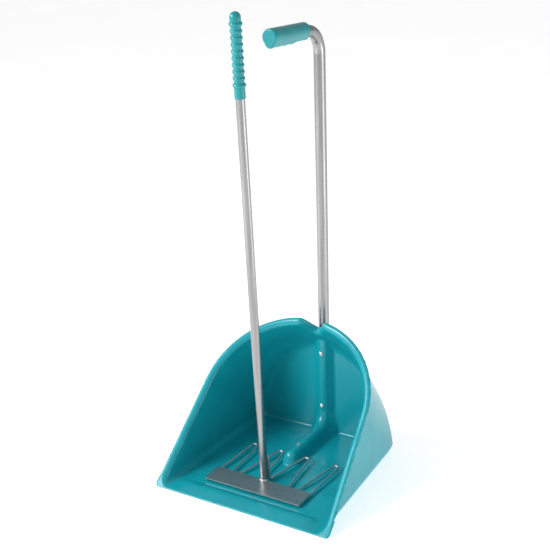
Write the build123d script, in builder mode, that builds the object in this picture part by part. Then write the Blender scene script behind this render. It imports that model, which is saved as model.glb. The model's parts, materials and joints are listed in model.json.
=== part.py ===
"""Yard scoop and rake: a hooded plastic pan on a bent tube handle, with a wire-tined rake standing in it.

Millimetres, +Z up, ground at Z = 0. X runs across the pan and +Y points to its back wall.
Depths called "from the lip" are measured back from the pan's front edge.
"""
import os
from math import cos, radians, sin, tan

from build123d import *

os.makedirs("parts", exist_ok=True)

# ---- Pan handle tube -------------------------------------------------------
TUBE_R = 11.0
TUBE_WALL = 1.5
TUBE_DEPTH = 339.5        # tube axis behind the lip
TUBE_FOOT_DEPTH = 202.0   # where the run under the floor ends
TUBE_FOOT_Z = 12.5
FOOT_BEND = 45.0
TOP_BEND = 46.0

DEPTH = TUBE_DEPTH + TUBE_R
FRONT = -DEPTH / 2        # Y of the lip, which puts the origin at the middle of the whole depth

# ---- Pan -------------------------------------------------------------------
MOUTH_ANGLE = 42.5        # the mouth leans back this far from the ground
HOOD_RADIUS = 177.7       # outside of the rim's round top
HOOD_CENTRE = 225.0       # its centre, up the sloping mouth
SIDE_LEAN = 2.85          # the rim's straight sides close in by this angle
SKIRT = 60.0              # the outline runs on below the ground and is cut there
WALL = 3.0
CAVITY_INSET = 15.0       # rim's outer edge to the inside of the wall
HULL_INSET = CAVITY_INSET - WALL
DRAFT = 2.0
REACH = 330.0             # how far the walls run back from the mouth before the back wall cuts them
BACK_DEPTH = 344.0
CAVITY_ROUND = 10.0
HULL_ROUND = 7.0
FLANGE = 4.0
LIP_EDGE = (2.5, 2.2)     # depth from the lip and height where the lip's bevel ends
SILL_TOP = (36.0, 7.0)    # depth from the lip and height of the ramp's crest
SILL_FOOT = 50.0
SILL_ROUND = 10.0
LIP_CORNER = 5.0
PARALLEL = 0.1            # largest cosine between a wall's normal and the way it is drawn out
NEAR_SIDES = 50.0         # edges further out than this belong to the side walls
SHORT_EDGE = 8.0
PAST = 10.0               # how far a cutting shape runs past what it cuts
FAR = 60.0                # the same, where it must clear the whole rim

# ---- Channel that holds the tube -------------------------------------------
TUBE_FIT = 0.3
GROOVE_R = TUBE_R + TUBE_FIT
RIDGE_R = GROOVE_R + WALL + 0.2
RIDGE_START = TUBE_FOOT_DEPTH - 2.0
GROOVE_START = TUBE_FOOT_DEPTH - 3.0
WALL_FLANK = (26.5, 9.0, 15.0)    # half-widths at the pan's outside and at the top, and the height between
FLOOR_FLANK = (20.7, 12.5, 17.5)
CHANNEL_TOP = 300.0       # above the rim
CHANNEL_REACH = 40.0      # past the back wall
SADDLE_HALF = 23.0        # half-width of the dip between its sloping sides
SADDLE_POINT = 49.0       # where its sides would meet
SADDLE_SHOULDER = 16.0
SADDLE_BOTTOM = 10.0

# ---- Rivets ----------------------------------------------------------------
RIVET_HEAD_R = 4.2
RIVET_SHANK_R = 2.4
RIVET_BORE_R = 1.3
RIVET_STEM_R = 1.25
RIVET_BULB_R = 3.3
RIVET_DOME_R = 2.8
RIVET_FIT = 0.05
RIVET_SEAT = 0.7          # the head reaches this far down the sides of the round crest
RIVET_RIM = 0.5
RIVET_DOME = 0.9
RIVET_BULB = 2.5
RIVET_BULB_TOP = TUBE_WALL + 0.7
RIVET_LENGTH = 12.0
BACK_RIVETS = (67.0, 183.0)
FLOOR_RIVET = 228.0

# ---- Pan grip --------------------------------------------------------------
GRIP_FRONT = (165.0, 832.0)   # depth from the lip and height of the end face's centre
GRIP_BACK = (284.0, 827.0)
GRIP_TOP_R = 14.5
GRIP_LOW_R = 9.0
GRIP_HEIGHT = 34.0
GRIP_END_WALL = 6.0
GRIP_FRONT_ROUND = 3.0
GRIP_BACK_ROUND = 1.5
SOCKET_FIT = 0.05
FINGER_START = 17.0
FINGERS = 4
FINGER_PITCH = 21.5
FINGER_R = 13.0
FINGER_CUT = 4.0

# ---- Rake ------------------------------------------------------------------
RAKE_X = -7.5
RAKE_DEPTH = 60.0         # blade's front edge, from the lip
RAKE_TILT = 2.2           # the rake leans forward on its blade
RAKE_LIFT = 0.4           # gap between the wire and the pan's floor
BLADE = (207.0, 45.0, 2.0)
WIRE_R = 2.2
RAKE_TUBE_R = 8.0
RAKE_TUBE_WALL = 1.2
TUBE_OVERHANG = 4.0       # the tube's axis stands this far behind the blade
RAKE_TUBE_Y = BLADE[1] + TUBE_OVERHANG
RAKE_HEIGHT = 879.5
BLADE_CORNER = 1.5
WELD_WIDTH = 2.4
WELD_SLOPE = 30.0
TINE_TIP = 152.0          # tine tips, back from the blade's front edge
TINE_ROOT = 32.0          # loops under the blade that join one tine to the next
TINE_BEND = 4.9
BRACE_HALF = 5.5          # the wire's middle is a narrow upright loop against the tube's back
BRACE_Y = RAKE_TUBE_Y + RAKE_TUBE_R + WIRE_R
BRACE_TOP = 46.0
BRACE_BEND = 3.0
BRACE_FOOT = 5.0          # the wire's last crosswise run ends this far behind the brace
LEFT_TINES = [            # the bent wire seen from above: across, and back from the blade's edge
    (-101.0, 2.0),
    (-88.5, TINE_TIP),
    (-77.0, TINE_TIP),
    (-69.0, TINE_ROOT),
    (-57.0, TINE_ROOT),
    (-27.5, TINE_TIP),
    (-17.0, TINE_TIP),
    (-9.0, BRACE_Y + BRACE_FOOT),
]
RIGHT_TINES = [
    (9.0, BRACE_Y + BRACE_FOOT),
    (30.5, TINE_TIP),
    (41.0, TINE_TIP),
    (56.0, TINE_ROOT),
    (70.0, TINE_ROOT),
    (96.0, TINE_TIP),
    (106.5, TINE_TIP),
    (101.0, 2.0),
]

# ---- Rake grip -------------------------------------------------------------
RAKE_GRIP_LENGTH = 142.0
RAKE_GRIP_CROWN = 18.0    # solid end above the tube
COLLAR_R = 9.5
NECK_R = 8.75
RAKE_COLLAR = 18.0
BIG_RING = (7.0, 4.5)     # centre of the ring's round section from the axis, and its radius
SMALL_RING = (6.3, 4.2)
LOW_RING_RISE = 4.0
RINGS = 8
RING_PITCH = 11.0
RING_GAP = 11.4           # from an end ring to the ring next to it
LOW_RING_Z = RAKE_COLLAR + LOW_RING_RISE
FIRST_RING_Z = LOW_RING_Z + RING_GAP
TOP_RING_Z = FIRST_RING_Z + (RINGS - 1) * RING_PITCH + RING_GAP


def lip(depth, height=0.0):
    """The point on the centre line this deep from the lip and this high."""
    return (0, FRONT + depth, height)


mouth_angle = radians(MOUTH_ANGLE)
grip_slope = (GRIP_FRONT[1] - GRIP_BACK[1]) / (GRIP_BACK[0] - GRIP_FRONT[0])
top_corner = GRIP_BACK[1] - (TUBE_DEPTH - GRIP_BACK[0]) * grip_slope
grip_line = Vector(lip(*GRIP_BACK)) - Vector(lip(*GRIP_FRONT))
GRIP_LENGTH = grip_line.length
grip_plane = Plane(origin=lip(*GRIP_FRONT), x_dir=(1, 0, 0), z_dir=grip_line.normalized())
RIVET_CREST = RIDGE_R - TUBE_R
RIVET_SHANK = RIVET_CREST + RIVET_RIM + RIVET_BULB_TOP
RIVET_STEM = RIVET_CREST + RIVET_BULB_TOP + RIVET_BULB + RIVET_FIT
rivet_places = [
    Plane(origin=lip(TUBE_DEPTH - TUBE_R, height), x_dir=(1, 0, 0), z_dir=(0, -1, 0))
    for height in BACK_RIVETS
]
floor_place = lip(FLOOR_RIVET, TUBE_FOOT_Z + TUBE_R)
rivet_places.append(Plane(origin=floor_place, x_dir=(1, 0, 0), z_dir=(0, 0, 1)))

rake_tilt = radians(RAKE_TILT)
rake = Plane(
    origin=(RAKE_X, FRONT + RAKE_DEPTH, WALL + RAKE_LIFT + 2 * WIRE_R),
    x_dir=(1, 0, 0),
    z_dir=(0, -sin(rake_tilt), cos(rake_tilt)),
)
rake_grip_section = Plane(
    origin=rake.from_local_coords(Vector(0, RAKE_TUBE_Y, RAKE_HEIGHT - RAKE_GRIP_LENGTH)),
    x_dir=(1, 0, 0),
    z_dir=(0, -cos(rake_tilt), -sin(rake_tilt)),
)

mouth = Plane(origin=lip(0), x_dir=(-1, 0, 0), z_dir=(0, sin(mouth_angle), -cos(mouth_angle)))
up_the_mouth = Plane(origin=lip(0), x_dir=(1, 0, 0), z_dir=(0, cos(mouth_angle), sin(mouth_angle)))
back = Plane(origin=lip(BACK_DEPTH), x_dir=(1, 0, 0), z_dir=(0, -1, 0))
ridge_end = Plane(origin=lip(RIDGE_START), x_dir=(1, 0, 0), z_dir=(0, -1, 0))
centre_plane = Plane(origin=(0, 0, 0), x_dir=(0, 1, 0), z_dir=(1, 0, 0))


def arch(inset):
    """The mouth's outline, set in from the rim's outer edge: a round top on two leaning sides."""
    radius = HOOD_RADIUS - inset
    lean = radians(SIDE_LEAN)
    shoulder = (radius * cos(lean), HOOD_CENTRE + radius * sin(lean))
    foot = (shoulder[0] + (shoulder[1] + SKIRT) * tan(lean), -SKIRT)
    with BuildSketch() as outline:
        with BuildLine():
            Line((-foot[0], foot[1]), foot)
            Line(foot, shoulder)
            ThreePointArc(shoulder, (0, HOOD_CENTRE + radius), (-shoulder[0], shoulder[1]))
            Line((-shoulder[0], shoulder[1]), (-foot[0], foot[1]))
        make_face()
    return outline.sketch


def walled_space(inset, floor_z, back_depth, rounding):
    """The pan's solid space: the arch run back with draft, cut by the floor and the back wall."""
    with BuildPart() as space:
        with BuildSketch(mouth):
            add(arch(inset))
        extrude(amount=REACH)
        walls = [face for face in space.faces() if abs(face.normal_at().dot(mouth.z_dir)) < PARALLEL]
        draft(walls, mouth, DRAFT)
        split(bisect_by=Plane.XY.offset(floor_z), keep=Keep.TOP)
        split(bisect_by=back.offset(BACK_DEPTH - back_depth), keep=Keep.TOP)
        base = space.faces().sort_by(Axis.Z)[0]
        base_sides = [edge for edge in base.edges() if abs(edge.center().X) > NEAR_SIDES]
        rear_wall = space.faces().sort_by(Axis.Y)[-1]
        fillet(base_sides + list(rear_wall.edges()), radius=rounding)
    return space.part


def above_saddle(drop):
    """Everything in front of the rim's top, whose middle dips back where the tube passes."""
    half = SADDLE_HALF + drop / 2
    edge = HOOD_RADIUS + FAR
    with BuildPart() as space:
        with BuildSketch(up_the_mouth.offset(HOOD_CENTRE)):
            with BuildLine():
                FilletPolyline(
                    (-edge, drop),
                    (-half, drop),
                    (0, SADDLE_POINT + drop),
                    (half, drop),
                    (edge, drop),
                    radius=[SADDLE_SHOULDER, SADDLE_BOTTOM, SADDLE_SHOULDER],
                )
                Polyline((edge, drop), (edge, -PAST), (-edge, -PAST), (-edge, drop))
            make_face()
        extrude(amount=edge)
    return space.part


def flanks(base_half, top_half, height):
    """The section of the ridge's sloping flanks, with its base on the X axis."""
    with BuildSketch() as section:
        with BuildLine():
            Polyline(
                (-base_half, 0),
                (base_half, 0),
                (top_half, height),
                (-top_half, height),
                close=True,
            )
        make_face()
    return section.sketch


def bent_line(first, last):
    """The handle tube's centre line between two points, round its lower and upper bends."""
    with BuildLine() as axis:
        FilletPolyline(
            first,
            lip(TUBE_DEPTH, TUBE_FOOT_Z),
            lip(TUBE_DEPTH, top_corner),
            last,
            radius=[FOOT_BEND, TOP_BEND],
        )
    return axis.line


def channel(radius, first_depth, top, reach):
    """The space round the tube behind and under the pan: a round crest with flat sides out to reach."""
    foot_y = FRONT + first_depth
    tube_y = FRONT + TUBE_DEPTH
    low = TUBE_FOOT_Z - reach
    section = Plane(origin=lip(first_depth, TUBE_FOOT_Z), x_dir=(1, 0, 0), z_dir=(0, 1, 0))
    with BuildPart() as space:
        with BuildLine() as run:
            FilletPolyline(
                lip(first_depth, TUBE_FOOT_Z),
                lip(TUBE_DEPTH, TUBE_FOOT_Z),
                lip(TUBE_DEPTH, top),
                radius=FOOT_BEND,
            )
        with BuildSketch(section):
            Circle(radius)
        sweep(path=run.line)
        with BuildSketch(centre_plane):
            with BuildLine():
                bend_centre = (tube_y - FOOT_BEND, TUBE_FOOT_Z + FOOT_BEND)
                corner = CenterArc(bend_centre, FOOT_BEND, -90, 90)
                Line((foot_y, TUBE_FOOT_Z), corner @ 0)
                Line(corner @ 1, (tube_y, top))
                Line((tube_y, top), (tube_y + reach, top))
                Line((tube_y + reach, top), (tube_y + reach, low))
                Line((tube_y + reach, low), (foot_y, low))
                Line((foot_y, low), (foot_y, TUBE_FOOT_Z))
            make_face()
        extrude(amount=radius, both=True)
    return space.part


# ---- Pan shell -------------------------------------------------------------
with BuildPart() as ridge:
    add(channel(RIDGE_R, RIDGE_START, CHANNEL_TOP, CHANNEL_REACH))
    with Locations(lip(RIDGE_START, TUBE_FOOT_Z)):
        Sphere(RIDGE_R)

with BuildPart() as wall_flanks:
    with BuildSketch(Plane(origin=lip(BACK_DEPTH), x_dir=(-1, 0, 0), z_dir=(0, 0, 1))):
        add(flanks(*WALL_FLANK))
    extrude(amount=CHANNEL_TOP)

with BuildPart() as floor_flanks:
    with BuildSketch(ridge_end):
        add(flanks(*FLOOR_FLANK))
    extrude(amount=RIDGE_START - BACK_DEPTH)
    with BuildSketch(ridge_end):
        add(flanks(*FLOOR_FLANK))
        with Locations((-CHANNEL_REACH, 0)):
            Rectangle(2 * CHANNEL_REACH, 4 * CHANNEL_REACH, mode=Mode.SUBTRACT)
    revolve(axis=Axis(ridge_end.origin, (0, 0, 1)))

with BuildPart() as sill:
    with BuildSketch(centre_plane):
        with BuildLine():
            Polyline(
                (FRONT - PAST, -PAST),
                (FRONT, 0),
                (FRONT + LIP_EDGE[0], LIP_EDGE[1]),
                (FRONT + SILL_TOP[0], SILL_TOP[1]),
                (FRONT + SILL_FOOT, WALL),
                (FRONT + SILL_FOOT, -PAST),
                close=True,
            )
        face = make_face()
        fillet(face.vertices().sort_by(Axis.Z)[-1], radius=SILL_ROUND)
    extrude(amount=HOOD_RADIUS + FAR, both=True)

with BuildPart() as cavity:
    add(walled_space(CAVITY_INSET, WALL, BACK_DEPTH - WALL, CAVITY_ROUND))
    add(ridge.part, mode=Mode.SUBTRACT)
    add(wall_flanks.part, mode=Mode.SUBTRACT)
    add(floor_flanks.part, mode=Mode.SUBTRACT)
    add(sill.part, mode=Mode.SUBTRACT)

with BuildPart() as groove:
    add(channel(GROOVE_R, GROOVE_START, CHANNEL_TOP + PAST, CHANNEL_REACH))

with BuildPart() as saddle_flange:
    with BuildSketch(mouth):
        add(arch(0))
    extrude(amount=SADDLE_POINT + PAST)
    add(above_saddle(FLANGE), mode=Mode.INTERSECT)

with BuildPart() as scoop_shell:
    add(walled_space(HULL_INSET, 0, BACK_DEPTH, HULL_ROUND))
    with BuildSketch(mouth):
        add(arch(0))
    extrude(amount=FLANGE)
    add(saddle_flange.part)
    add(above_saddle(0), mode=Mode.SUBTRACT)
    add(cavity.part, mode=Mode.SUBTRACT)
    add(groove.part, mode=Mode.SUBTRACT)
    split(bisect_by=Plane.XY, keep=Keep.TOP)
    with Locations(*rivet_places):
        Cylinder(RIVET_SHANK_R + RIVET_FIT, RIVET_LENGTH, mode=Mode.SUBTRACT)
    outer_edges = [edge for edge in scoop_shell.edges() if abs(edge.center().X) > HOOD_RADIUS]
    corners = [edge for edge in outer_edges if edge.length < SHORT_EDGE]
    fillet(corners, radius=LIP_CORNER)
scoop_shell.part.label = "scoop_shell"
export_step(scoop_shell.part, "parts/scoop_shell.step")


# ---- Handle tube: under the floor, up behind the back wall, forward into the grip ----
with BuildPart() as scoop_tube:
    tube_foot = lip(TUBE_FOOT_DEPTH, TUBE_FOOT_Z)
    tube_end = grip_plane.from_local_coords((0, 0, GRIP_END_WALL))
    handle_line = bent_line(tube_foot, tube_end)
    with BuildSketch(Plane(origin=tube_foot, z_dir=(0, 1, 0))):
        Circle(TUBE_R)
        Circle(TUBE_R - TUBE_WALL, mode=Mode.SUBTRACT)
    sweep(path=handle_line)
    with Locations(*rivet_places):
        Cylinder(RIVET_SHANK_R + RIVET_FIT, RIVET_LENGTH, mode=Mode.SUBTRACT)
scoop_tube.part.label = "scoop_tube"
export_step(scoop_tube.part, "parts/scoop_tube.step")


# ---- Pan grip: a drop-shaped bar with finger hollows, closed at its front, pushed over the tube ----
with BuildPart() as scoop_grip:
    with BuildSketch(grip_plane):
        with Locations((0, GRIP_TOP_R - GRIP_HEIGHT / 2)):
            Circle(GRIP_TOP_R)
        with Locations((0, GRIP_HEIGHT / 2 - GRIP_LOW_R)):
            Circle(GRIP_LOW_R)
        make_hull()
    extrude(amount=GRIP_LENGTH)
    fillet(scoop_grip.faces().sort_by(Axis.Y)[0].edges(), radius=GRIP_FRONT_ROUND)
    fillet(scoop_grip.faces().sort_by(Axis.Y)[-1].edges(), radius=GRIP_BACK_ROUND)
    for finger in range(FINGERS):
        middle = (0, GRIP_HEIGHT / 2 + FINGER_R - FINGER_CUT, FINGER_START + finger * FINGER_PITCH)
        with Locations(Plane(origin=grip_plane.from_local_coords(middle), z_dir=(1, 0, 0))):
            Cylinder(FINGER_R, 3 * GRIP_TOP_R, mode=Mode.SUBTRACT)
    last_finger = FINGER_START + (FINGERS - 1) * FINGER_PITCH
    heel = (0, GRIP_HEIGHT / 2, (last_finger + GRIP_LENGTH + PAST) / 2)
    heel_place = Plane(origin=grip_plane.from_local_coords(heel), x_dir=(1, 0, 0), z_dir=grip_plane.z_dir)
    with Locations(heel_place):
        Box(3 * GRIP_TOP_R, 2 * FINGER_CUT, GRIP_LENGTH + PAST - last_finger, mode=Mode.SUBTRACT)
    with BuildSketch(grip_plane.offset(GRIP_END_WALL)):
        Circle(TUBE_R + SOCKET_FIT)
    extrude(amount=GRIP_LENGTH, mode=Mode.SUBTRACT)
scoop_grip.part.label = "scoop_grip"
export_step(scoop_grip.part, "parts/scoop_grip.step")


# ---- Blind rivets through the channel's crest into the tube ----
with BuildPart() as rivet_bodies:
    with Locations(*rivet_places):
        with Locations((0, 0, RIVET_CREST - RIVET_SEAT)):
            Cylinder(RIVET_HEAD_R, RIVET_SEAT + RIVET_RIM, align=(Align.CENTER, Align.CENTER, Align.MIN))
        with Locations((0, 0, RIVET_CREST + RIVET_RIM)):
            Cone(RIVET_HEAD_R, RIVET_DOME_R, RIVET_DOME, align=(Align.CENTER, Align.CENTER, Align.MIN))
    crest = channel(RIDGE_R + RIVET_FIT, TUBE_FOOT_DEPTH, CHANNEL_TOP, CHANNEL_REACH)
    add(crest, mode=Mode.SUBTRACT)
    with Locations(*rivet_places):
        with Locations((0, 0, RIVET_CREST + RIVET_RIM)):
            Cylinder(RIVET_SHANK_R, RIVET_SHANK, align=(Align.CENTER, Align.CENTER, Align.MAX))
        with Locations((0, 0, -RIVET_BULB_TOP)):
            Cylinder(RIVET_BULB_R, RIVET_BULB, align=(Align.CENTER, Align.CENTER, Align.MAX))
        Cylinder(RIVET_BORE_R, 4 * RIVET_LENGTH, mode=Mode.SUBTRACT)
rivet_bodies.part.label = "rivet_bodies"
export_step(rivet_bodies.part, "parts/rivet_bodies.step")

with BuildPart() as rivet_mandrels:
    with Locations(*rivet_places):
        with Locations((0, 0, RIVET_CREST)):
            Cylinder(RIVET_STEM_R, RIVET_STEM, align=(Align.CENTER, Align.CENTER, Align.MAX))
        with Locations((0, 0, -RIVET_BULB_TOP - RIVET_BULB - RIVET_FIT)):
            Cylinder(RIVET_SHANK_R, 2 * RIVET_RIM, align=(Align.CENTER, Align.CENTER, Align.MAX))
rivet_mandrels.part.label = "rivet_mandrels"
export_step(rivet_mandrels.part, "parts/rivet_mandrels.step")


# ---- Rake head: a flat blade welded on one zigzag wire ----
with BuildPart() as rake_blade:
    with BuildSketch(rake):
        with Locations((0, BLADE[1] / 2)):
            RectangleRounded(BLADE[0], BLADE[1], BLADE_CORNER)
    extrude(amount=BLADE[2])
rake_blade.part.label = "rake_blade"
export_step(rake_blade.part, "parts/rake_blade.step")

with BuildPart() as rake_tines:
    wire_points = [(x, y, -WIRE_R) for x, y in LEFT_TINES]
    wire_points += [
        (-BRACE_HALF, BRACE_Y, -WIRE_R),
        (-BRACE_HALF, BRACE_Y, BRACE_TOP),
        (BRACE_HALF, BRACE_Y, BRACE_TOP),
        (BRACE_HALF, BRACE_Y, -WIRE_R),
    ]
    wire_points += [(x, y, -WIRE_R) for x, y in RIGHT_TINES]
    tine_radii = [TINE_BEND] * (len(LEFT_TINES) - 2)
    wire_radii = tine_radii + [BRACE_BEND] * 6 + tine_radii
    with BuildLine(rake) as wire:
        FilletPolyline(*wire_points, radius=wire_radii)
    with BuildSketch(Plane(origin=wire.line @ 0, z_dir=wire.line % 0)):
        Circle(WIRE_R)
    sweep(path=wire.line)
rake_tines.part.label = "rake_tines"
export_step(rake_tines.part, "parts/rake_tines.step")


# ---- Rake tube and its ribbed grip ----
with BuildPart() as rake_tube:
    with BuildSketch(rake.offset(BLADE[2])):
        with Locations((0, RAKE_TUBE_Y)):
            Circle(RAKE_TUBE_R)
            Circle(RAKE_TUBE_R - RAKE_TUBE_WALL, mode=Mode.SUBTRACT)
    extrude(amount=RAKE_HEIGHT - RAKE_GRIP_CROWN - BLADE[2])
rake_tube.part.label = "rake_tube"
export_step(rake_tube.part, "parts/rake_tube.step")

with BuildPart() as rake_grip:
    with BuildSketch(rake_grip_section):
        with Locations((0, RAKE_COLLAR / 2)):
            Rectangle(2 * COLLAR_R, RAKE_COLLAR)
        with Locations((0, RAKE_GRIP_LENGTH / 2)):
            Rectangle(2 * NECK_R, RAKE_GRIP_LENGTH - 2 * COLLAR_R)
        with Locations((0, TOP_RING_Z + (RAKE_GRIP_LENGTH - COLLAR_R - TOP_RING_Z) / 2)):
            Rectangle(2 * COLLAR_R, RAKE_GRIP_LENGTH - COLLAR_R - TOP_RING_Z)
        with Locations((0, RAKE_GRIP_LENGTH - COLLAR_R)):
            Circle(COLLAR_R)
        for ring in range(RINGS):
            with Locations((SMALL_RING[0], FIRST_RING_Z + ring * RING_PITCH)):
                Circle(SMALL_RING[1])
        with Locations((BIG_RING[0], LOW_RING_Z), (BIG_RING[0], TOP_RING_Z)):
            Circle(BIG_RING[1])
        with Locations((-2 * COLLAR_R, RAKE_GRIP_LENGTH / 2)):
            Rectangle(4 * COLLAR_R, 2 * RAKE_GRIP_LENGTH, mode=Mode.SUBTRACT)
    revolve(axis=Axis(rake_grip_section.origin, rake.z_dir))
    with BuildSketch(Plane(origin=rake_grip_section.origin, x_dir=(1, 0, 0), z_dir=rake.z_dir)):
        Circle(RAKE_TUBE_R + SOCKET_FIT)
    extrude(amount=RAKE_GRIP_LENGTH - RAKE_GRIP_CROWN, mode=Mode.SUBTRACT)
rake_grip.part.label = "rake_grip"
export_step(rake_grip.part, "parts/rake_grip.step")

with BuildPart() as rake_welds:
    with BuildSketch(rake.offset(BLADE[2])):
        with Locations((0, RAKE_TUBE_Y)):
            Circle(RAKE_TUBE_R + WELD_WIDTH)
            Circle(RAKE_TUBE_R, mode=Mode.SUBTRACT)
        with Locations((0, BLADE[1] + RAKE_TUBE_R)):
            Rectangle(4 * RAKE_TUBE_R, 2 * RAKE_TUBE_R, mode=Mode.SUBTRACT)
    extrude(amount=WELD_WIDTH, taper=WELD_SLOPE)
rake_welds.part.label = "rake_welds"
export_step(rake_welds.part, "parts/rake_welds.step")
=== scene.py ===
"""Blender scene of the yard scoop and rake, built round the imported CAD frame. Metres."""
import json
from math import cos, pi, radians, sin, tan

import bpy
import numpy as np
from mathutils import Matrix, Vector


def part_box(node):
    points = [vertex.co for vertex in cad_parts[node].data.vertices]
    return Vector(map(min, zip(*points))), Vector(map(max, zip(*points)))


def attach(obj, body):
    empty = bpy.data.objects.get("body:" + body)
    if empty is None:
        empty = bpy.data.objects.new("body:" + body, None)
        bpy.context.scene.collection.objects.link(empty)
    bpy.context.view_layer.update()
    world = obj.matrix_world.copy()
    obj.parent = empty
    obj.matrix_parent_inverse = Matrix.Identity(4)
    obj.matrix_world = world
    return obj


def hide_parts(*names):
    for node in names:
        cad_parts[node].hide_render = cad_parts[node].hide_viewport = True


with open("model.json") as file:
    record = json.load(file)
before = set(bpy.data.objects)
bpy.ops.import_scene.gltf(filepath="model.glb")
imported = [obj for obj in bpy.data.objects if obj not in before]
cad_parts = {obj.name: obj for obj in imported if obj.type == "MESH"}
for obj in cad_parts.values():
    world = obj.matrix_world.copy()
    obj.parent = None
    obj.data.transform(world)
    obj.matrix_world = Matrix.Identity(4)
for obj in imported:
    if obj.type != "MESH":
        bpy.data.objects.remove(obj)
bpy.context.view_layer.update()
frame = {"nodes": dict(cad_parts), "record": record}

MM = 0.001

# ---- Sizes of the pan, in millimetres; the roundings are this model's own ----
shell_low, shell_high = [np.array(corner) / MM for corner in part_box("scoop_shell")]
tube_high = np.array(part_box("scoop_tube")[1]) / MM
LIP_Y = shell_low[1]
BACK_Y = shell_high[1]
WALL = 3.0
MOUTH_ANGLE = radians(42.5)
HOOD_RADIUS = 177.7
HOOD_CENTRE = 225.0
SIDE_LEAN = radians(2.85)
CAVITY_INSET = 15.0
DRAFT = radians(2.0)
FLARE = 10.0              # rounding from the walls out to the flange
LIP_FLARE = 1.5           # the same at the lip
FLARE_GROWS = (4.0, 30.0)  # up the mouth from the lip, where one turns into the other
ROLL = 4.0                # rounding of the flange's outer edge
ROLL_GROWS = (10.0, 40.0)  # up the mouth from the lip, where it sets in
EDGE_ROUND = 1.2          # rounding of the flange's cut edge
GROUND_ROUND = 0.6        # rounding where the pan meets the ground
FLOOR_FILLET = 14.0
BACK_FILLET = 7.0
RIDGE_R = 14.5
RIDGE_FILLET = 2.0
WALL_FLANK = radians(46)  # how far the ridge's flanks lean out, on the back wall and on the floor
FLOOR_FLANK = radians(20)
FLANK_TURNS = (0.1, 0.9)  # share of the bend between which one lean turns into the other
TUBE_R = 11.0
TUBE_Y = tube_high[1] - TUBE_R
TUBE_FOOT_Z = 12.5
FOOT_BEND = 45.0
RIDGE_END = 25.0          # Y of the round end of the ridge under the tube's foot
LIP_CORNER = 13.0
SADDLE_HALF = 30.0
SADDLE_DEPTH = 36.0
SADDLE_GROWS = (60.0, 90.0)  # above the hood's centre, where the dip sets in
SILL_START = -4.0
SILL_CREST = 36.0
SILL_FOOT = 50.0
SILL_RISE = 3.6
SILL_ENDS = (128.0, 152.0)  # half-widths between which the sill runs out

# ---- Sizes of the net over the pan ----
NET_STEP = 1.6
NET_PASSES = 3
NET_SMOOTHING = 0.5
LAST_SMOOTHING = 0.3

# ---- Sizes of the rake's wire ----
RAKE_X = -7.5
RAKE_DEPTH = 60.0
RAKE_TILT = radians(2.2)
WIRE_R = 2.2
WIRE_GAP = 0.4            # between the wire and the pan's floor
BLADE_UNDERSIDE = WALL + WIRE_GAP + 2 * WIRE_R
BLADE_BEVEL = 0.4
TINE_TIP = 152.0
TINE_ROOT = 32.0
TINE_BEND = 4.9
BRACE_Y = 59.2
BRACE_HALF = 5.5
BRACE_TOP = 46.0
BRACE_BEND = 3.0
WIRE_SIDES = 14
ARC_STEP = 0.8            # between points along a bend
RUN_STEP = 8.0            # between points along a straight run
LEFT_TINES = [
    (-101.0, 2.0), (-88.5, TINE_TIP), (-77.0, TINE_TIP), (-69.0, TINE_ROOT),
    (-57.0, TINE_ROOT), (-27.5, TINE_TIP), (-17.0, TINE_TIP), (-9.0, BRACE_Y + 5.0),
]
RIGHT_TINES = [
    (9.0, BRACE_Y + 5.0), (30.5, TINE_TIP), (41.0, TINE_TIP), (56.0, TINE_ROOT),
    (70.0, TINE_ROOT), (96.0, TINE_TIP), (106.5, TINE_TIP), (101.0, 2.0),
]


# ---- Solid modelling with distance fields ----
def round_max(a, b, radius):
    """Where both fields hold, with the edge between them rounded."""
    outside = np.hypot(np.maximum(a + radius, 0), np.maximum(b + radius, 0))
    return np.minimum(np.maximum(a, b), -radius) + outside


def round_min(a, b, radius):
    """Where either field holds, with the corner between them filled round."""
    inside = np.hypot(np.maximum(radius - a, 0), np.maximum(radius - b, 0))
    return np.maximum(np.minimum(a, b), radius) - inside


def ease(value, low, high):
    """0 below low, 1 above high, smooth between."""
    part = np.clip((value - low) / (high - low), 0, 1)
    return part * part * (3 - 2 * part)


def arch_field(x, up, inset):
    """Distance outside the mouth's outline: a round top on two leaning sides."""
    radius = HOOD_RADIUS - inset
    rise = up - HOOD_CENTRE
    side = np.abs(x) * cos(SIDE_LEAN) + rise * sin(SIDE_LEAN) - radius
    top = np.hypot(x, rise) - radius
    return np.where(rise > np.abs(x) * tan(SIDE_LEAN), top, side)


def ridge_field(x, y, z):
    """Distance outside the ridge that covers the handle tube: a round crest on sloping flanks."""
    bend_y = TUBE_Y - FOOT_BEND
    bend_z = TUBE_FOOT_Z + FOOT_BEND
    inward = np.minimum(TUBE_Y - y, z - TUBE_FOOT_Z)
    in_bend = (y > bend_y) & (z < bend_z)
    inward = np.where(in_bend, FOOT_BEND - np.hypot(y - bend_y, z - bend_z), inward)
    share = np.clip(np.arctan2(bend_z - z, y - bend_y) / (pi / 2), 0, 1)
    slope = WALL_FLANK + (FLOOR_FLANK - WALL_FLANK) * ease(share, *FLANK_TURNS)
    across = np.hypot(x, np.maximum(RIDGE_END - y, 0))
    crest = np.hypot(across, inward) - RIDGE_R
    flank = across * np.cos(slope) + inward * np.sin(slope) - RIDGE_R
    return np.where(np.arctan2(inward, across) > slope, crest, flank)


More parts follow.
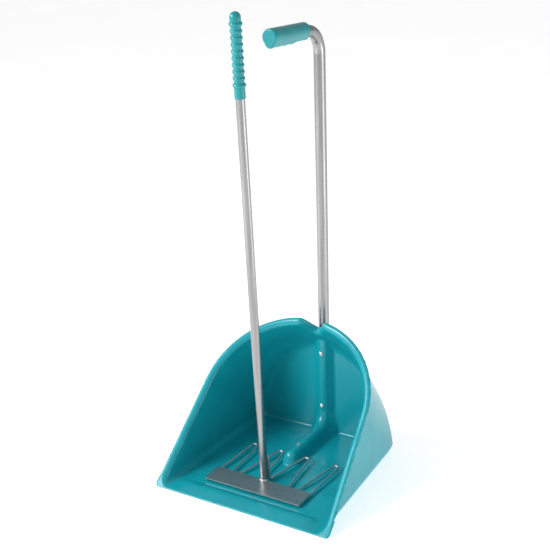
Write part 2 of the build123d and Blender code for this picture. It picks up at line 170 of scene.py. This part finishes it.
def shell_field(points):
    """Distance outside the pan's plastic: a wall of even thickness round the space it holds."""
    x, y, z = points
    back = y - LIP_Y
    up = back * cos(MOUTH_ANGLE) + z * sin(MOUTH_ANGLE)
    deep = back * sin(MOUTH_ANGLE) - z * cos(MOUTH_ANGLE)
    walls = (arch_field(x, up, CAVITY_INSET) + deep * tan(DRAFT)) * cos(DRAFT)
    sill = ease(back, SILL_START, SILL_CREST) * (1 - ease(back, SILL_CREST, SILL_FOOT))
    sill = sill * (1 - ease(np.abs(x), *SILL_ENDS))
    floor = WALL + SILL_RISE * sill - z
    hollow = round_max(walls, floor, FLOOR_FILLET)
    hollow = round_max(hollow, back - (BACK_Y - LIP_Y - WALL), BACK_FILLET)
    hollow = round_max(hollow, -ridge_field(x, y, z), RIDGE_FILLET)
    near_top = ease(up - HOOD_CENTRE, *SADDLE_GROWS)
    swing = np.clip(x / SADDLE_HALF, -1, 1) * pi
    dip = SADDLE_DEPTH / 2 * (1 + np.cos(swing)) * near_top
    slope = SADDLE_DEPTH / 2 * np.sin(swing) * pi / SADDLE_HALF * near_top
    rim_inset = -arch_field(x, up, 0)
    above_lip = ease(up, *ROLL_GROWS)
    roll_in = np.clip(ROLL - rim_inset, 0, ROLL)
    roll = (ROLL - np.sqrt(ROLL * ROLL - roll_in * roll_in)) * above_lip
    front = (deep - dip - roll) / np.sqrt(1 + slope * slope)
    flare = LIP_FLARE + (FLARE - LIP_FLARE) * ease(up, *FLARE_GROWS)
    air = round_min(hollow, front, flare)
    plastic = np.abs(air - WALL / 2) - WALL / 2
    outline = round_max(-rim_inset, -up, LIP_CORNER)
    plastic = round_max(plastic, outline, EDGE_ROUND)
    return round_max(plastic, -z, GROUND_ROUND)


def surface_net(field, low, high, step):
    """Vertices and quads of the surface where field is 0, on a grid, then moved onto the surface."""
    axes = [np.arange(low[i] - 2 * step, high[i] + 3 * step, step) for i in range(3)]
    grid = np.meshgrid(*axes, indexing="ij")
    values = field(grid)
    inside = values < 0
    shape = [n - 1 for n in values.shape]
    corner = {}
    for dx in (0, 1):
        for dy in (0, 1):
            for dz in (0, 1):
                start = (dx, dy, dz)
                corner[start] = tuple(slice(d, n + d) for d, n in zip(start, shape))
    count = sum(inside[c].astype(np.int8) for c in corner.values())
    active = (count > 0) & (count < 8)
    index = np.full(active.shape, -1)
    index[active] = np.arange(active.sum())
    total = np.zeros((active.sum(), 3))
    hits = np.zeros(active.sum())
    for start, cut in corner.items():
        for axis in range(3):
            if start[axis] == 1:
                continue
            end = tuple(1 if i == axis else start[i] for i in range(3))
            a = values[cut][active]
            b = values[corner[end]][active]
            crossed = (a < 0) != (b < 0)
            part = np.where(crossed, a / np.where(crossed, a - b, 1), 0)
            place = np.array([np.full(len(a), s, float) for s in start]).T
            place[:, axis] = part
            total += place * crossed[:, None]
            hits += crossed
    cells = np.argwhere(active)
    origin = np.array([axes[i][0] for i in range(3)])
    points = origin + (cells + total / hits[:, None]) * step
    faces = []
    for axis in range(3):
        b, c = (axis + 1) % 3, (axis + 2) % 3
        ahead = [slice(None)] * 3
        ahead[axis] = slice(1, None)
        behind = [slice(None)] * 3
        behind[axis] = slice(0, -1)
        change = inside[tuple(behind)] != inside[tuple(ahead)]
        edges = np.argwhere(change)
        edges = edges[(edges[:, b] > 0) & (edges[:, c] > 0)]
        edges = edges[(edges[:, b] < shape[b]) & (edges[:, c] < shape[c])]
        ring = []
        for step_b, step_c in ((-1, -1), (0, -1), (0, 0), (-1, 0)):
            cell = edges.copy()
            cell[:, b] += step_b
            cell[:, c] += step_c
            ring.append(index[cell[:, 0], cell[:, 1], cell[:, 2]])
        quads = np.array(ring).T
        outward = inside[edges[:, 0], edges[:, 1], edges[:, 2]]
        quads[~outward] = quads[~outward][:, ::-1]
        faces.append(quads)
    quads = np.concatenate(faces)
    for _ in range(NET_PASSES):
        points = settle(field, smoothed(points, quads, NET_SMOOTHING), step)
    return smoothed(points, quads, LAST_SMOOTHING), quads


def smoothed(points, quads, share):
    """Points moved part of the way to the middle of their neighbours."""
    total = np.zeros_like(points)
    count = np.zeros(len(points))
    for side in range(4):
        a = quads[:, side]
        for b in (quads[:, (side + 1) % 4], quads[:, side - 1]):
            for axis in range(3):
                total[:, axis] += np.bincount(a, points[b, axis], len(points))
            count += np.bincount(a, minlength=len(points))
    return points + share * (total / np.maximum(count, 1)[:, None] - points)


def settle(field, points, step):
    """Points moved along the field's slope onto its zero surface."""
    base = field(points.T)
    probe = 0.05
    nudges = probe * np.eye(3)
    changes = [(field((points + nudge).T) - base) / probe for nudge in nudges]
    slope = np.stack(changes, axis=1)
    steepness = np.maximum((slope ** 2).sum(axis=1), 0.3)
    return points - np.clip(slope * (base / steepness)[:, None], -step / 2, step / 2)


def mesh_piece(name, points, faces, material):
    """A smooth-shaded mesh object from points in millimetres."""
    mesh = bpy.data.meshes.new(name)
    faces = [list(map(int, face)) for face in faces]
    mesh.from_pydata((np.asarray(points) * MM).tolist(), [], faces)
    mesh.polygons.foreach_set("use_smooth", [True] * len(mesh.polygons))
    mesh.materials.append(material)
    mesh.update()
    piece = bpy.data.objects.new(name, mesh)
    bpy.context.scene.collection.objects.link(piece)
    return piece


# ---- Bent wire ----
def rounded_path(corners, radii):
    """Points along straight runs joined by arcs."""
    corners = [Vector(corner) for corner in corners]
    path = [corners[0]]
    for before, corner, after, radius in zip(corners, corners[1:], corners[2:], radii):
        arriving = (corner - before).normalized()
        leaving = (after - corner).normalized()
        turn = arriving.angle(leaving)
        reach = radius * tan(turn / 2)
        inward = (leaving - arriving).normalized()
        centre = corner + inward * (radius / cos(turn / 2))
        first = corner - arriving * reach - centre
        axis = arriving.cross(leaving)
        steps = max(4, round(radius * turn / ARC_STEP))
        for k in range(steps + 1):
            path.append(centre + Matrix.Rotation(turn * k / steps, 3, axis) @ first)
    path.append(corners[-1])
    filled = [path[0]]
    for a, b in zip(path, path[1:]):
        count = max(1, round((b - a).length / RUN_STEP))
        filled += [a.lerp(b, (k + 1) / count) for k in range(count)]
    return filled


def wire_mesh(path, radius):
    """Vertices and faces of a round wire along a path."""
    sides = WIRE_SIDES
    points, faces = [], []
    normal = (path[1] - path[0]).orthogonal().normalized()
    for k, place in enumerate(path):
        ahead = (path[min(k + 1, len(path) - 1)] - path[max(k - 1, 0)]).normalized()
        normal = (normal - ahead * normal.dot(ahead)).normalized()
        other = ahead.cross(normal)
        for side in range(sides):
            angle = 2 * pi * side / sides
            points.append(place + (normal * cos(angle) + other * sin(angle)) * radius)
        if k:
            for side in range(sides):
                near, far = (k - 1) * sides, k * sides
                turn = (side + 1) % sides
                faces.append((near + side, near + turn, far + turn, far + side))
    faces.append(tuple(reversed(range(sides))))
    faces.append(tuple(range(len(points) - sides, len(points))))
    return points, faces


def make_tines():
    """The rake's wire: left tines, upright brace and right tines, in one run."""
    brace = [
        (-BRACE_HALF, BRACE_Y, -WIRE_R),
        (-BRACE_HALF, BRACE_Y, BRACE_TOP),
        (BRACE_HALF, BRACE_Y, BRACE_TOP),
        (BRACE_HALF, BRACE_Y, -WIRE_R),
    ]
    left = [(x, y, -WIRE_R) for x, y in LEFT_TINES]
    right = [(x, y, -WIRE_R) for x, y in RIGHT_TINES]
    tine_radii = [TINE_BEND] * 6
    radii = tine_radii + [BRACE_BEND] * 6 + tine_radii
    path = rounded_path(left + brace + right, radii)
    points, faces = wire_mesh(path, WIRE_R)
    stand = Matrix.Translation((RAKE_X, LIP_Y + RAKE_DEPTH, BLADE_UNDERSIDE))
    stand = stand @ Matrix.Rotation(RAKE_TILT, 4, "X")
    points = [stand @ point for point in points]
    tines = mesh_piece("rake_wire", points, faces, materials["wire_steel"])
    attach(tines, "rake")
    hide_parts("rake_tines")


# ---- Materials ----
FLOOR_GLOW = 0.55


def new_material(name, color, metallic, roughness):
    """A material and its Principled shader."""
    material = bpy.data.materials.new(name)
    material.use_nodes = True
    shader = material.node_tree.nodes["Principled BSDF"]
    shader.inputs["Base Color"].default_value = (*color, 1)
    shader.inputs["Metallic"].default_value = metallic
    shader.inputs["Roughness"].default_value = roughness
    return material, shader


def add_node(material, kind, **inputs):
    """A node with some of its inputs set; underscores in names stand for spaces."""
    node = material.node_tree.nodes.new(kind)
    for key, value in inputs.items():
        node.inputs[key.replace("_", " ")].default_value = value
    return node


def link(material, source, target):
    """Join an output to an input."""
    material.node_tree.links.new(source, target)


def object_place(material, scale):
    """Object coordinates, stretched."""
    place = material.node_tree.nodes.new("ShaderNodeTexCoord")
    stretch = add_node(material, "ShaderNodeMapping", Scale=scale)
    link(material, place.outputs["Object"], stretch.inputs["Vector"])
    return stretch.outputs["Vector"]


def noise(material, scale, detail, stretch=(1, 1, 1), distortion=0.0):
    """Noise from 0 to 1 over the object."""
    texture = add_node(material, "ShaderNodeTexNoise", Scale=scale, Detail=detail)
    texture.inputs["Distortion"].default_value = distortion
    link(material, object_place(material, stretch), texture.inputs["Vector"])
    return texture.outputs["Fac"]


def vary_color(material, shader, amount, low, high):
    """Mix two colours by a texture."""
    ramp = material.node_tree.nodes.new("ShaderNodeValToRGB")
    ramp.color_ramp.elements[0].position = 0.35
    ramp.color_ramp.elements[1].position = 0.65
    ramp.color_ramp.elements[0].color = (*low, 1)
    ramp.color_ramp.elements[1].color = (*high, 1)
    link(material, amount, ramp.inputs["Fac"])
    link(material, ramp.outputs["Color"], shader.inputs["Base Color"])


def vary_roughness(material, shader, amount, low, high):
    """Spread the roughness between two values by a texture."""
    span = {"From_Min": 0.3, "From_Max": 0.7, "To_Min": low, "To_Max": high}
    spread = add_node(material, "ShaderNodeMapRange", **span)
    link(material, amount, spread.inputs["Value"])
    link(material, spread.outputs["Result"], shader.inputs["Roughness"])


def add_relief(material, shader, amount, depth, strength):
    """Relief from a texture, depth in metres."""
    relief = add_node(material, "ShaderNodeBump", Strength=strength, Distance=depth)
    link(material, amount, relief.inputs["Height"])
    link(material, relief.outputs["Normal"], shader.inputs["Normal"])


def pan_plastic():
    """Glossy turquoise, faintly uneven."""
    material, shader = new_material("pan_plastic", (0.006, 0.34, 0.40), 0.0, 0.24)
    flow = noise(material, 7.0, 3.0, (1.0, 1.6, 0.7), 1.4)
    vary_color(material, shader, flow, (0.006, 0.33, 0.395), (0.008, 0.37, 0.44))
    vary_roughness(material, shader, noise(material, 14.0, 3.0, (1, 0.5, 1), 0.8), 0.2, 0.27)
    add_relief(material, shader, noise(material, 9.0, 2.0), 0.0008, 0.2)
    return material


def grip_plastic():
    """Softer turquoise."""
    material, shader = new_material("grip_plastic", (0.015, 0.30, 0.31), 0.0, 0.3)
    mottle = noise(material, 40.0, 3.0)
    vary_color(material, shader, mottle, (0.010, 0.275, 0.30), (0.014, 0.315, 0.34))
    vary_roughness(material, shader, noise(material, 90.0, 3.0), 0.24, 0.34)
    add_relief(material, shader, noise(material, 60.0, 2.0), 0.0002, 0.12)
    return material


def zinc_tube():
    """Zinc with streaks along the tube."""
    material, shader = new_material("galvanised_tube", (0.33, 0.33, 0.34), 1.0, 0.3)
    streaks = noise(material, 60.0, 3.0, (3, 3, 0.1))
    vary_color(material, shader, streaks, (0.29, 0.29, 0.295), (0.38, 0.375, 0.38))
    vary_roughness(material, shader, noise(material, 60.0, 3.0, (2, 2, 0.2)), 0.24, 0.34)
    return material


def satin_blade():
    """Steel with a grain along the blade."""
    material, shader = new_material("blade_steel", (0.26, 0.30, 0.32), 0.8, 0.3)
    grain = noise(material, 120.0, 3.0, (0.06, 2, 2))
    vary_color(material, shader, grain, (0.33, 0.365, 0.385), (0.38, 0.415, 0.435))
    vary_roughness(material, shader, noise(material, 40.0, 3.0, (0.3, 2, 2)), 0.26, 0.34)
    return material


def bright_wire():
    """Plain steel wire."""
    material, shader = new_material("wire_steel", (0.42, 0.46, 0.50), 0.8, 0.34)
    mottle = noise(material, 60.0, 2.0)
    vary_color(material, shader, mottle, (0.46, 0.49, 0.52), (0.56, 0.59, 0.62))
    vary_roughness(material, shader, noise(material, 80.0, 2.0), 0.3, 0.38)
    return material


def rivet_metal():
    """Bare aluminium."""
    material, shader = new_material("rivet_aluminium", (0.80, 0.80, 0.82), 1.0, 0.25)
    mottle = noise(material, 400.0, 3.0)
    vary_color(material, shader, mottle, (0.72, 0.72, 0.74), (0.86, 0.86, 0.88))
    vary_roughness(material, shader, noise(material, 800.0, 3.0), 0.2, 0.35)
    return material


def weld_metal():
    """Bright, lumpy weld."""
    material, shader = new_material("weld", (0.82, 0.81, 0.80), 1.0, 0.35)
    mottle = noise(material, 500.0, 4.0)
    vary_color(material, shader, mottle, (0.70, 0.69, 0.68), (0.92, 0.91, 0.90))
    vary_roughness(material, shader, noise(material, 700.0, 4.0), 0.25, 0.5)
    add_relief(material, shader, noise(material, 600.0, 4.0), 0.0004, 0.8)
    return material


def pale_floor():
    """Near-white floor with a weak glow."""
    material, shader = new_material("floor", (0.95, 0.95, 0.95), 0.0, 0.7)
    cloud = noise(material, 3.0, 2.0)
    vary_color(material, shader, cloud, (0.93, 0.93, 0.93), (0.96, 0.96, 0.96))
    shader.inputs["Emission Color"].default_value = (1, 1, 1, 1)
    shader.inputs["Emission Strength"].default_value = FLOOR_GLOW
    return material


materials = {
    "pan_plastic": pan_plastic(),
    "grip_plastic": grip_plastic(),
    "galvanised_tube": zinc_tube(),
    "blade_steel": satin_blade(),
    "wire_steel": bright_wire(),
    "rivet_aluminium": rivet_metal(),
    "weld": weld_metal(),
}


def finish_cad_nodes():
    """The right material on each CAD node, and a fine bevel on the rake's blade."""
    slots = {part["node"]: part["material_slot"] for part in frame["record"]["subparts"]}
    for name, node in frame["nodes"].items():
        for slot in node.material_slots:
            slot.material = materials[slots[name]]
    edge = frame["nodes"]["rake_blade"].modifiers.new("edge", "BEVEL")
    edge.width = BLADE_BEVEL * MM
    edge.segments = 2


def make_shell():
    """The pan's plastic."""
    points, faces = surface_net(shell_field, shell_low, shell_high, NET_STEP)
    shell = mesh_piece("pan_shell", points, faces, materials["pan_plastic"])
    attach(shell, "pan")
    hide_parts("scoop_shell")


# ---- Camera and light ----
CAMERA_PLACE = (0.976, -1.602, 1.116)
CAMERA_AZIMUTH = radians(31.6)
CAMERA_ELEVATION = radians(20.77)
CAMERA_ROLL = radians(-1.88)
CAMERA_LENS = 72.0
CAMERA_SENSOR = 36.0

FLOOR_SIZE = 60
WORLD_LIGHT = 0.43        # as a light; the camera itself sees the world white


def make_camera():
    """A camera at CAMERA_PLACE, turned by the angles above."""
    data = bpy.data.cameras.new("camera")
    data.lens = CAMERA_LENS
    data.sensor_width = CAMERA_SENSOR
    camera = bpy.data.objects.new("camera", data)
    flat = cos(CAMERA_ELEVATION)
    back = Vector((
        sin(CAMERA_AZIMUTH) * flat, -cos(CAMERA_AZIMUTH) * flat, sin(CAMERA_ELEVATION)
    ))
    right = Vector((cos(CAMERA_AZIMUTH), sin(CAMERA_AZIMUTH), 0))
    up = back.cross(right)
    rolled_right = right * cos(CAMERA_ROLL) + up * sin(CAMERA_ROLL)
    rolled_up = up * cos(CAMERA_ROLL) - right * sin(CAMERA_ROLL)
    turn = Matrix((rolled_right, rolled_up, back)).transposed().to_4x4()
    camera.matrix_world = Matrix.Translation(CAMERA_PLACE) @ turn
    bpy.context.scene.collection.objects.link(camera)
    bpy.context.scene.camera = camera


def area_light(name, place, target, size, power):
    """A soft lamp at place that faces target."""
    data = bpy.data.lights.new(name, "AREA")
    data.shape = "RECTANGLE"
    data.size, data.size_y = size
    data.energy = power
    light = bpy.data.objects.new(name, data)
    light.location = place
    aim = Vector(target) - Vector(place)
    light.rotation_euler = aim.to_track_quat("-Z", "Y").to_euler()
    bpy.context.scene.collection.objects.link(light)


def make_studio():
    """Pale floor, even white surroundings and three soft lamps."""
    bpy.ops.mesh.primitive_plane_add(size=FLOOR_SIZE, location=(0, 0, 0))
    floor = bpy.context.object
    floor.name = "studio_floor"
    floor.data.materials.append(pale_floor())
    world = bpy.data.worlds.new("studio")
    world.use_nodes = True
    tree = world.node_tree
    soft = tree.nodes["Background"]
    soft.inputs["Color"].default_value = (1, 1, 1, 1)
    soft.inputs["Strength"].default_value = WORLD_LIGHT
    white = tree.nodes.new("ShaderNodeBackground")
    white.inputs["Color"].default_value = (1, 1, 1, 1)
    ray = tree.nodes.new("ShaderNodeLightPath")
    either = tree.nodes.new("ShaderNodeMixShader")
    tree.links.new(ray.outputs["Is Camera Ray"], either.inputs["Fac"])
    tree.links.new(soft.outputs["Background"], either.inputs[1])
    tree.links.new(white.outputs["Background"], either.inputs[2])
    tree.links.new(either.outputs["Shader"], tree.nodes["World Output"].inputs["Surface"])
    bpy.context.scene.world = world
    bpy.context.scene.view_settings.view_transform = "Standard"
    middle = (0, 0, 0.3)
    area_light("key", (-1.6, -2.1, 1.9), middle, (1.1, 1.1), 66)
    area_light("rim", (-2.0, -0.6, 1.7), (0, 0, 0.2), (0.3, 1.0), 16)
    area_light("side", (1.5, 0.2, 0.3), (0.18, 0.05, 0.12), (0.7, 0.7), 5)


make_shell()
make_tines()
finish_cad_nodes()
make_camera()
make_studio()
